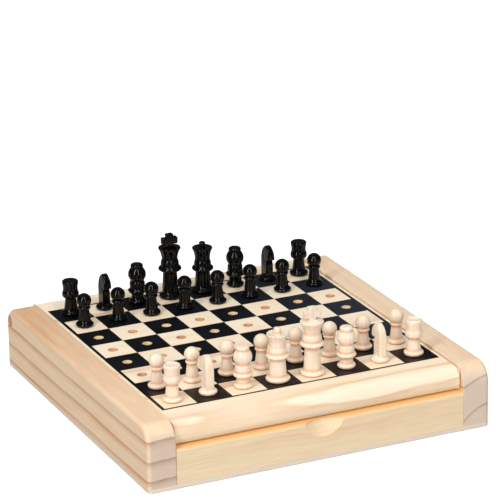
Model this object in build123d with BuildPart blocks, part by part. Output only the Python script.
from build123d import *
from itertools import pairwise
from math import cos, pi, radians, sin, tau
import os

os.makedirs("parts", exist_ok=True)

# A pegged travel chess set: a hinged board is the lid of a shallow wooden case.
# Millimetres, with +Z up and +Y from White's side to Black's.
# The origin is the middle of the footprint, on the surface that the case stands on.

# Board: the square sets the width and depth of the whole case
square = 16.0
squares_across = 8
side_margin = 1.6
front_margin = 15.55
back_margin = 14.05
border_line = 0.6
print_thickness = 0.1
print_gap = 0.05  # bare wood left round each printed square

# Case
case_height = 28.4
rail_thickness = 12.5
panel_thickness = 10.0
base_thickness = 2.0
felt_thickness = 1.0
felt_gap = 0.2
rail_end_round = 8.5
rail_edge_chamfer = 1.0
foot_chamfer = 0.4
panel_top_round = 1.2

# Lid
lid_thickness = 10.0
lid_below_rails = 0.9
lid_side_gap = 0.4
lid_front_setback = 2.6
lid_back_setback = 0.3
lid_swing_gap = 0.3
nose_top_round = 6.5
nose_under_round = 3.4
back_round = 4.0
side_chamfer = 0.4

# Hinge dowels, glued in the rails and turning in the lid
dowel_diameter = 5.0
dowel_reach = 14.0
dowel_setback = 4.3
dowel_fit = 0.06
dowel_end_gap = 0.5
glue_gap = 0.02

# Thumb scoop in the front panel
scoop_width = 18.4
scoop_height = 7.0
scoop_depth = 3.0
scoop_offset = 0.6

# Peg holes
hole_across_flats = 4.4
hole_depth = 7.0
hole_sides = 8
peg_clearance = 0.1
peg_length = 6.0

# Turned rounds are rings of flats, few enough to keep thirty-two pieces light
turned_sides = 10
ball_steps = 4

# Pieces: heights stand above the square, radii are of the turned rounds
foot_undercut = 0.8
foot_widest = 1.2
foot_shoulder = 2.0
shoulder_inset = 0.6
edge_ease = 0.45
waist_bottom = 3.3

pawn_foot = 3.95
pawn_height = 15.2
pawn_ball = 3.25
pawn_skirt = 2.7
pawn_waist = 2.15
pawn_waist_top = 7.9
pawn_collar = 2.7
pawn_collar_top = 9.2
pawn_collar_height = 0.8

rook_foot = 4.25
rook_height = 16.1
rook_skirt = 3.05
rook_waist = 2.4
rook_waist_top = 7.7
rook_collar = 3.7
rook_collar_top = 10.6
rook_collar_height = 1.6
rook_neck = 3.2
rook_rim = 3.6
rook_rim_height = 1.2
rook_dimple = 2.3
rook_dimple_depth = 0.6

knight_foot = 3.9
knight_height = 16.8
knight_thickness = 3.5
knight_neck_depth = 5.6
knight_nose = 4.6
knight_withers = 11.6
knight_crest = 14.7
knight_flank = 13.2
knight_ridge = 0.8

bishop_foot = 3.9
bishop_height = 18.5
bishop_waist = 2.8
bishop_waist_top = 4.6
bishop_collar = 4.15
bishop_collar_middle = 6.1
bishop_band = 3.35
bishop_band_bottom = 7.4
bishop_band_top = 10.0
bishop_head = 3.95
bishop_head_tall = 3.6
bishop_head_middle = 13.65
bishop_cap = 2.7

queen_foot = 5.2
queen_height = 23.7
queen_cup_height = 20.9
queen_skirt = 3.75
queen_waist = 3.25
queen_waist_top = 9.7
queen_collar = 4.85
queen_collar_middle = 11.3
queen_band = 3.75
queen_band_bottom = 12.8
queen_band_top = 14.6
queen_cup = 3.5
queen_cup_bottom = 15.6
queen_rim = 4.6
queen_knob = 1.4

king_foot = 5.2
king_height = 30.2
king_cup_height = 23.9
king_skirt = 3.75
king_waist = 3.15
king_waist_top = 12.2
king_collar = 5.15
king_collar_middle = 13.8
king_band = 3.95
king_band_bottom = 15.3
king_band_top = 17.6
king_cup = 3.7
king_cup_bottom = 18.7
king_rim = 5.05
king_dome = 0.7
king_dome_radius = 2.1
cross_width = 7.5
cross_bar = 3.5
cross_arm = 3.2
cross_thickness = 2.5
cross_arm_drop = 1.7
cross_corner = 0.8

# Sizes and places that follow from the ones above
grid = square * squares_across
lid_width = grid + 2 * side_margin
lid_depth = grid + front_margin + back_margin
case_width = lid_width + 2 * (lid_side_gap + rail_thickness)
case_depth = lid_depth + lid_front_setback + lid_back_setback
board_top = case_height - lid_below_rails
lid_under = board_top - lid_thickness
rail_inside = case_width / 2 - rail_thickness
front_face = -case_depth / 2
back_face = case_depth / 2
lid_front = front_face + lid_front_setback
lid_back = back_face - lid_back_setback
hinge_y = back_face - dowel_setback
hinge_z = lid_under + lid_thickness / 2
board_offset = lid_front + front_margin + grid / 2
middle_square = (squares_across - 1) / 2
board_plane = Plane(origin=(0, board_offset, board_top))
squares = [(file, rank) for file in range(squares_across) for rank in range(squares_across)]
dark_squares = [(file, rank) for file, rank in squares if (file + rank) % 2]


def on_grid(file, rank):
    """A square's middle, measured from the middle of the grid."""
    return (square * (file - middle_square), square * (rank - middle_square))


# Side rail, one each side, taking the outer end of a hinge dowel
def side_rail(side):
    outer = side * case_width / 2
    with BuildPart() as rail:
        with BuildSketch(Plane.YZ.offset(outer)) as long_side:
            with Locations((0, (base_thickness + case_height) / 2)):
                Rectangle(case_depth, case_height - base_thickness)
            fillet(long_side.vertices().group_by(Axis.Y)[-1], rail_end_round)
        extrude(amount=-side * rail_thickness)
        outside = rail.faces().sort_by(Axis.X)[0 if side < 0 else -1]
        chamfer(outside.edges() - outside.edges().sort_by(Axis.Z)[:1], rail_edge_chamfer)
        with BuildSketch(Plane.YZ.offset(outer)):
            with Locations((hinge_y, hinge_z)):
                Circle(dowel_diameter / 2 + glue_gap)
        extrude(amount=-side * rail_thickness, mode=Mode.SUBTRACT)
    return rail


side_rail_left = side_rail(-1)
side_rail_left.part.label = "side_rail_left"
export_step(side_rail_left.part, "parts/side_rail_left.step")

side_rail_right = side_rail(1)
side_rail_right.part.label = "side_rail_right"
export_step(side_rail_right.part, "parts/side_rail_right.step")

# Front panel, which carries the lid's front edge, with its thumb scoop
scoop_outline = ((scoop_width / 2) ** 2 + scoop_height**2) / (2 * scoop_height)
scoop_ball = (scoop_outline**2 + scoop_depth**2) / (2 * scoop_depth)
with BuildPart() as front_panel:
    with BuildSketch(Plane.XY.offset(base_thickness)):
        with Locations((0, front_face + panel_thickness / 2)):
            Rectangle(2 * rail_inside, panel_thickness)
    extrude(amount=lid_under - base_thickness)
    front_edges = front_panel.edges().filter_by(Axis.X).group_by(Axis.Z)[-1]
    fillet(front_edges.sort_by(Axis.Y)[0], panel_top_round)
    with Locations(
        (
            scoop_offset,
            front_face + scoop_depth - scoop_ball,
            lid_under - scoop_height + scoop_outline,
        )
    ):
        Sphere(scoop_ball, mode=Mode.SUBTRACT)
front_panel.part.label = "front_panel"
export_step(front_panel.part, "parts/front_panel.step")

# Back panel, low enough for the lid's rounded back edge to turn above it
with BuildPart() as back_panel:
    with BuildSketch(Plane.XY.offset(base_thickness)):
        with Locations((0, back_face - panel_thickness / 2)):
            Rectangle(2 * rail_inside, panel_thickness)
    extrude(amount=lid_under - lid_swing_gap - base_thickness)
back_panel.part.label = "back_panel"
export_step(back_panel.part, "parts/back_panel.step")

# Base plate under the rails and panels
with BuildPart() as base_plate:
    with BuildSketch():
        Rectangle(case_width, case_depth)
    extrude(amount=base_thickness)
    chamfer(base_plate.edges().filter_by(Axis.Z), rail_edge_chamfer)
    chamfer(base_plate.faces().sort_by(Axis.Z)[0].edges(), foot_chamfer)
base_plate.part.label = "base_plate"
export_step(base_plate.part, "parts/base_plate.step")

# Felt lining on the floor of the case
with BuildPart() as felt_lining:
    with BuildSketch(Plane.XY.offset(base_thickness)):
        Rectangle(2 * (rail_inside - felt_gap), case_depth - 2 * (panel_thickness + felt_gap))
    extrude(amount=felt_thickness)
felt_lining.part.label = "felt_lining"
export_step(felt_lining.part, "parts/felt_lining.step")


# Hinge dowel, flush with the rail's outer face
def hinge_dowel(side):
    outer = side * case_width / 2
    with BuildPart() as dowel:
        with BuildSketch(Plane.YZ.offset(outer)):
            with Locations((hinge_y, hinge_z)):
                Circle(dowel_diameter / 2)
        extrude(amount=-side * (rail_thickness + dowel_reach))
    return dowel


hinge_dowel_left = hinge_dowel(-1)
hinge_dowel_left.part.label = "hinge_dowel_left"
export_step(hinge_dowel_left.part, "parts/hinge_dowel_left.step")

hinge_dowel_right = hinge_dowel(1)
hinge_dowel_right.part.label = "hinge_dowel_right"
export_step(hinge_dowel_right.part, "parts/hinge_dowel_right.step")

# Lid board: bullnosed front and back edges, a blind hole in each square, dowel bores
with BuildPart() as lid_board:
    with BuildSketch(Plane.YZ) as lid_section:
        with Locations(((lid_front + lid_back) / 2, hinge_z)):
            Rectangle(lid_back - lid_front, lid_thickness)
        fillet(lid_section.vertices().sort_by(Axis.X)[:2].sort_by(Axis.Y)[-1], nose_top_round)
        fillet(lid_section.vertices().sort_by(Axis.Y)[:2].sort_by(Axis.X)[0], nose_under_round)
        fillet(lid_section.vertices().sort_by(Axis.X)[-2:], back_round)
    extrude(amount=lid_width / 2, both=True)
    top_face = lid_board.faces().sort_by(Axis.Z)[-1]
    chamfer(top_face.edges().filter_by(Axis.Y), side_chamfer)
    with BuildSketch(board_plane):
        with GridLocations(square, square, squares_across, squares_across):
            RegularPolygon(hole_across_flats / 2, hole_sides, major_radius=False)
    extrude(amount=-hole_depth, mode=Mode.SUBTRACT)
    for side in (-1, 1):
        with BuildSketch(Plane.YZ.offset(side * lid_width / 2)):
            with Locations((hinge_y, hinge_z)):
                Circle(dowel_diameter / 2 + dowel_fit)
        extrude(amount=-side * (dowel_reach - lid_side_gap + dowel_end_gap), mode=Mode.SUBTRACT)
lid_board.part.label = "lid_board"
export_step(lid_board.part, "parts/lid_board.step")

# Printed squares and border line, a layer of ink on the board
printed_inside = grid - 2 * (border_line + print_gap)
with BuildPart() as printed_squares:
    with BuildSketch(board_plane):
        with Locations(*[on_grid(file, rank) for file, rank in dark_squares]):
            Rectangle(square - 2 * print_gap, square - 2 * print_gap)
        Rectangle(printed_inside, printed_inside, mode=Mode.INTERSECT)
        with Locations(*[on_grid(file, rank) for file, rank in dark_squares]):
            RegularPolygon(
                hole_across_flats / 2, hole_sides, major_radius=False, mode=Mode.SUBTRACT
            )
    extrude(amount=print_thickness)
    with BuildSketch(board_plane):
        Rectangle(grid, grid)
        Rectangle(grid - 2 * border_line, grid - 2 * border_line, mode=Mode.SUBTRACT)
    extrude(amount=print_thickness)
printed_squares.part.label = "printed_squares"
export_step(printed_squares.part, "parts/printed_squares.step")


def ring(height, radius):
    """Corners of one ring of flats, whose mean radius is the round's."""
    corner = radius * 2 / (1 + cos(pi / turned_sides))
    turns = [tau * step / turned_sides for step in range(turned_sides)]
    return [Vector(corner * cos(turn), corner * sin(turn), height) for turn in turns]


def turned(profile):
    """A turned form: flats from ring to ring of (height, radius) pairs."""
    rings = [ring(height, radius) for height, radius in profile]
    faces = [Face(Wire.make_polygon(rings[0])), Face(Wire.make_polygon(rings[-1]))]
    for lower, upper in pairwise(rings):
        for corner in range(turned_sides):
            flat = [lower[corner - 1], lower[corner], upper[corner], upper[corner - 1]]
            faces.append(Face(Wire.make_polygon(flat)))
    return Solid(Shell(faces))


def foot(radius):
    """The round-edged foot that every piece stands on."""
    return [
        (0, radius - foot_undercut),
        (foot_widest, radius),
        (foot_shoulder, radius - shoulder_inset),
    ]


def ledge(height, radius):
    """A flat top with an eased edge."""
    return [(height - edge_ease, radius), (height, radius - edge_ease)]


def ball(middle, across, tall, lowest, highest):
    """Rings round a ball or egg, between two angles above its middle."""
    step = (highest - lowest) / ball_steps
    angles = [radians(lowest + step * count) for count in range(ball_steps + 1)]
    return [(middle + tall * sin(angle), across * cos(angle)) for angle in angles]


# The peg under every piece, which stands at the origin while it is made
with BuildPart() as peg:
    with BuildSketch():
        RegularPolygon(hole_across_flats / 2 - peg_clearance, hole_sides)
    extrude(amount=-peg_length)

# Pawn
pawn_profile = foot(pawn_foot)
pawn_profile += [(waist_bottom, pawn_skirt), (pawn_waist_top, pawn_waist)]
pawn_profile += [(pawn_collar_top - pawn_collar_height, pawn_collar), (pawn_collar_top, pawn_collar)]
pawn_profile += ball(pawn_height - pawn_ball, pawn_ball, pawn_ball, -42, 78)
with BuildPart() as pawn:
    add(turned(pawn_profile))
    add(peg.part)

# Rook, with a dimple in its flat top
rook_profile = foot(rook_foot)
rook_profile += [(waist_bottom, rook_skirt), (rook_waist_top, rook_waist)]
rook_profile += [(rook_collar_top - rook_collar_height, rook_collar), (rook_collar_top, rook_collar)]
rook_profile += [(rook_height - 2 * rook_rim_height - rook_dimple_depth, rook_neck)]
rook_profile += [(rook_height - rook_rim_height, rook_rim), (rook_height, rook_rim - edge_ease)]
rook_profile += [(rook_height - rook_dimple_depth, rook_dimple)]
with BuildPart() as rook:
    add(turned(rook_profile))
    add(peg.part)

# Bishop, an egg-shaped head with a flat cap
bishop_profile = foot(bishop_foot)
bishop_profile += [(waist_bottom, bishop_waist), (bishop_waist_top, bishop_waist)]
bishop_profile += [(bishop_collar_middle, bishop_collar), (bishop_band_bottom, bishop_band)]
bishop_profile += [(bishop_band_top, bishop_band)]
bishop_profile += ball(bishop_head_middle, bishop_head, bishop_head_tall, -40, 47)
bishop_profile += ledge(bishop_height, bishop_cap)
with BuildPart() as bishop:
    add(turned(bishop_profile))
    add(peg.part)

# Queen, a flared cup with a knob
queen_profile = foot(queen_foot)
queen_profile += [(waist_bottom, queen_skirt), (queen_waist_top, queen_waist)]
queen_profile += [(queen_collar_middle, queen_collar), (queen_band_bottom, queen_band)]
queen_profile += [(queen_band_top, queen_band), (queen_cup_bottom, queen_cup)]
queen_profile += ledge(queen_cup_height, queen_rim)
queen_profile += [(queen_cup_height, queen_knob)]
queen_profile += ledge(queen_height, queen_knob)
with BuildPart() as queen:
    add(turned(queen_profile))
    add(peg.part)

# King, a flared cup with a flat cross
king_profile = foot(king_foot)
king_profile += [(waist_bottom, king_skirt), (king_waist_top, king_waist)]
king_profile += [(king_collar_middle, king_collar), (king_band_bottom, king_band)]
king_profile += [(king_band_top, king_band), (king_cup_bottom, king_cup)]
king_profile += ledge(king_cup_height, king_rim)
king_profile += [(king_cup_height + king_dome, king_dome_radius)]
with BuildPart() as king:
    add(turned(king_profile))
    with BuildSketch(Plane.XZ) as cross:
        with Locations((0, (king_cup_height + king_height) / 2)):
            Rectangle(cross_bar, king_height - king_cup_height)
        with Locations((0, king_height - cross_arm_drop - cross_arm / 2)):
            Rectangle(cross_width, cross_arm)
        arm_ends = cross.vertices().group_by(Axis.X)
        head_end = cross.vertices().group_by(Axis.Y)[-1]
        chamfer(arm_ends[0] + arm_ends[-1] + head_end, cross_corner)
    extrude(amount=cross_thickness / 2, both=True)
    add(peg.part)

# Knight, a neck and head cut from a plate, facing +Y
neck = knight_neck_depth / 2
plate_edge = knight_thickness / 2
knight_profile = foot(knight_foot) + [(waist_bottom, neck)]
with BuildPart() as knight:
    with BuildSketch(Plane.YZ):
        with BuildLine():
            nape = Line((-neck, foot_shoulder), (-neck, knight_withers))
            mane = ThreePointArc(nape @ 1, (-1.9, knight_crest), (0.3, knight_height))
            brow = Polyline(mane @ 1, (2.6, knight_height - 1.7), (4.1, 13.2))
            muzzle = Polyline(brow @ 1, (knight_nose, 11.6), (4.0, 10.4), (2.8, 10.3))
            throat = Polyline(muzzle @ 1, (1.3, 10.9), (2.3, 9.4), (neck, 7.6))
            Polyline(throat @ 1, (neck, foot_shoulder), nape @ 0)
        make_face()
    extrude(amount=plate_edge, both=True)
    with BuildSketch(Plane.XZ):
        with BuildLine():
            flank = Line((plate_edge, 0), (plate_edge, knight_flank))
            arch = Polyline(flank @ 1, (0.7 * plate_edge, 15.4), (knight_ridge / 2, knight_height))
            mirror(about=Plane.YZ)
            Line((-plate_edge, 0), (plate_edge, 0))
            Line((-knight_ridge / 2, knight_height), (knight_ridge / 2, knight_height))
        make_face()
    extrude(amount=2 * knight_foot, both=True, mode=Mode.INTERSECT)
    add(turned(knight_profile))
    add(peg.part)

# The pieces on their squares: White on the front two ranks, Black on the back two
facing_white = Location((0, 0, 0), (0, 0, 180))
white_back_rank = [rook, knight, bishop, queen, king, bishop, knight, rook]
black_back_rank = [rook, knight, bishop, king, queen, bishop, knight, rook]
names = {pawn: "pawn", rook: "rook", knight: "knight", bishop: "bishop", queen: "queen", king: "king"}
armies = [
    ("white", 0, white_back_rank, 1, Location()),
    ("black", squares_across - 1, black_back_rank, squares_across - 2, facing_white),
]
for colour, home_rank, back_rank, pawn_rank, turn in armies:
    places = [(piece, file, home_rank) for file, piece in enumerate(back_rank)]
    places += [(pawn, file, pawn_rank) for file in range(squares_across)]
    seen = {}
    for piece, file, rank in places:
        kind = names[piece]
        seen[kind] = seen.get(kind, 0) + 1
        name = f"{colour}_{kind}" if kind in ("king", "queen") else f"{colour}_{kind}_{seen[kind]}"
        x, y = on_grid(file, rank)
        on_print = print_thickness if (file, rank) in dark_squares else 0
        seat = Location((x, board_offset + y, board_top + on_print))
        placed = piece.part.moved(seat * turn)
        placed.label = name
        export_step(placed, f"parts/{name}.step")
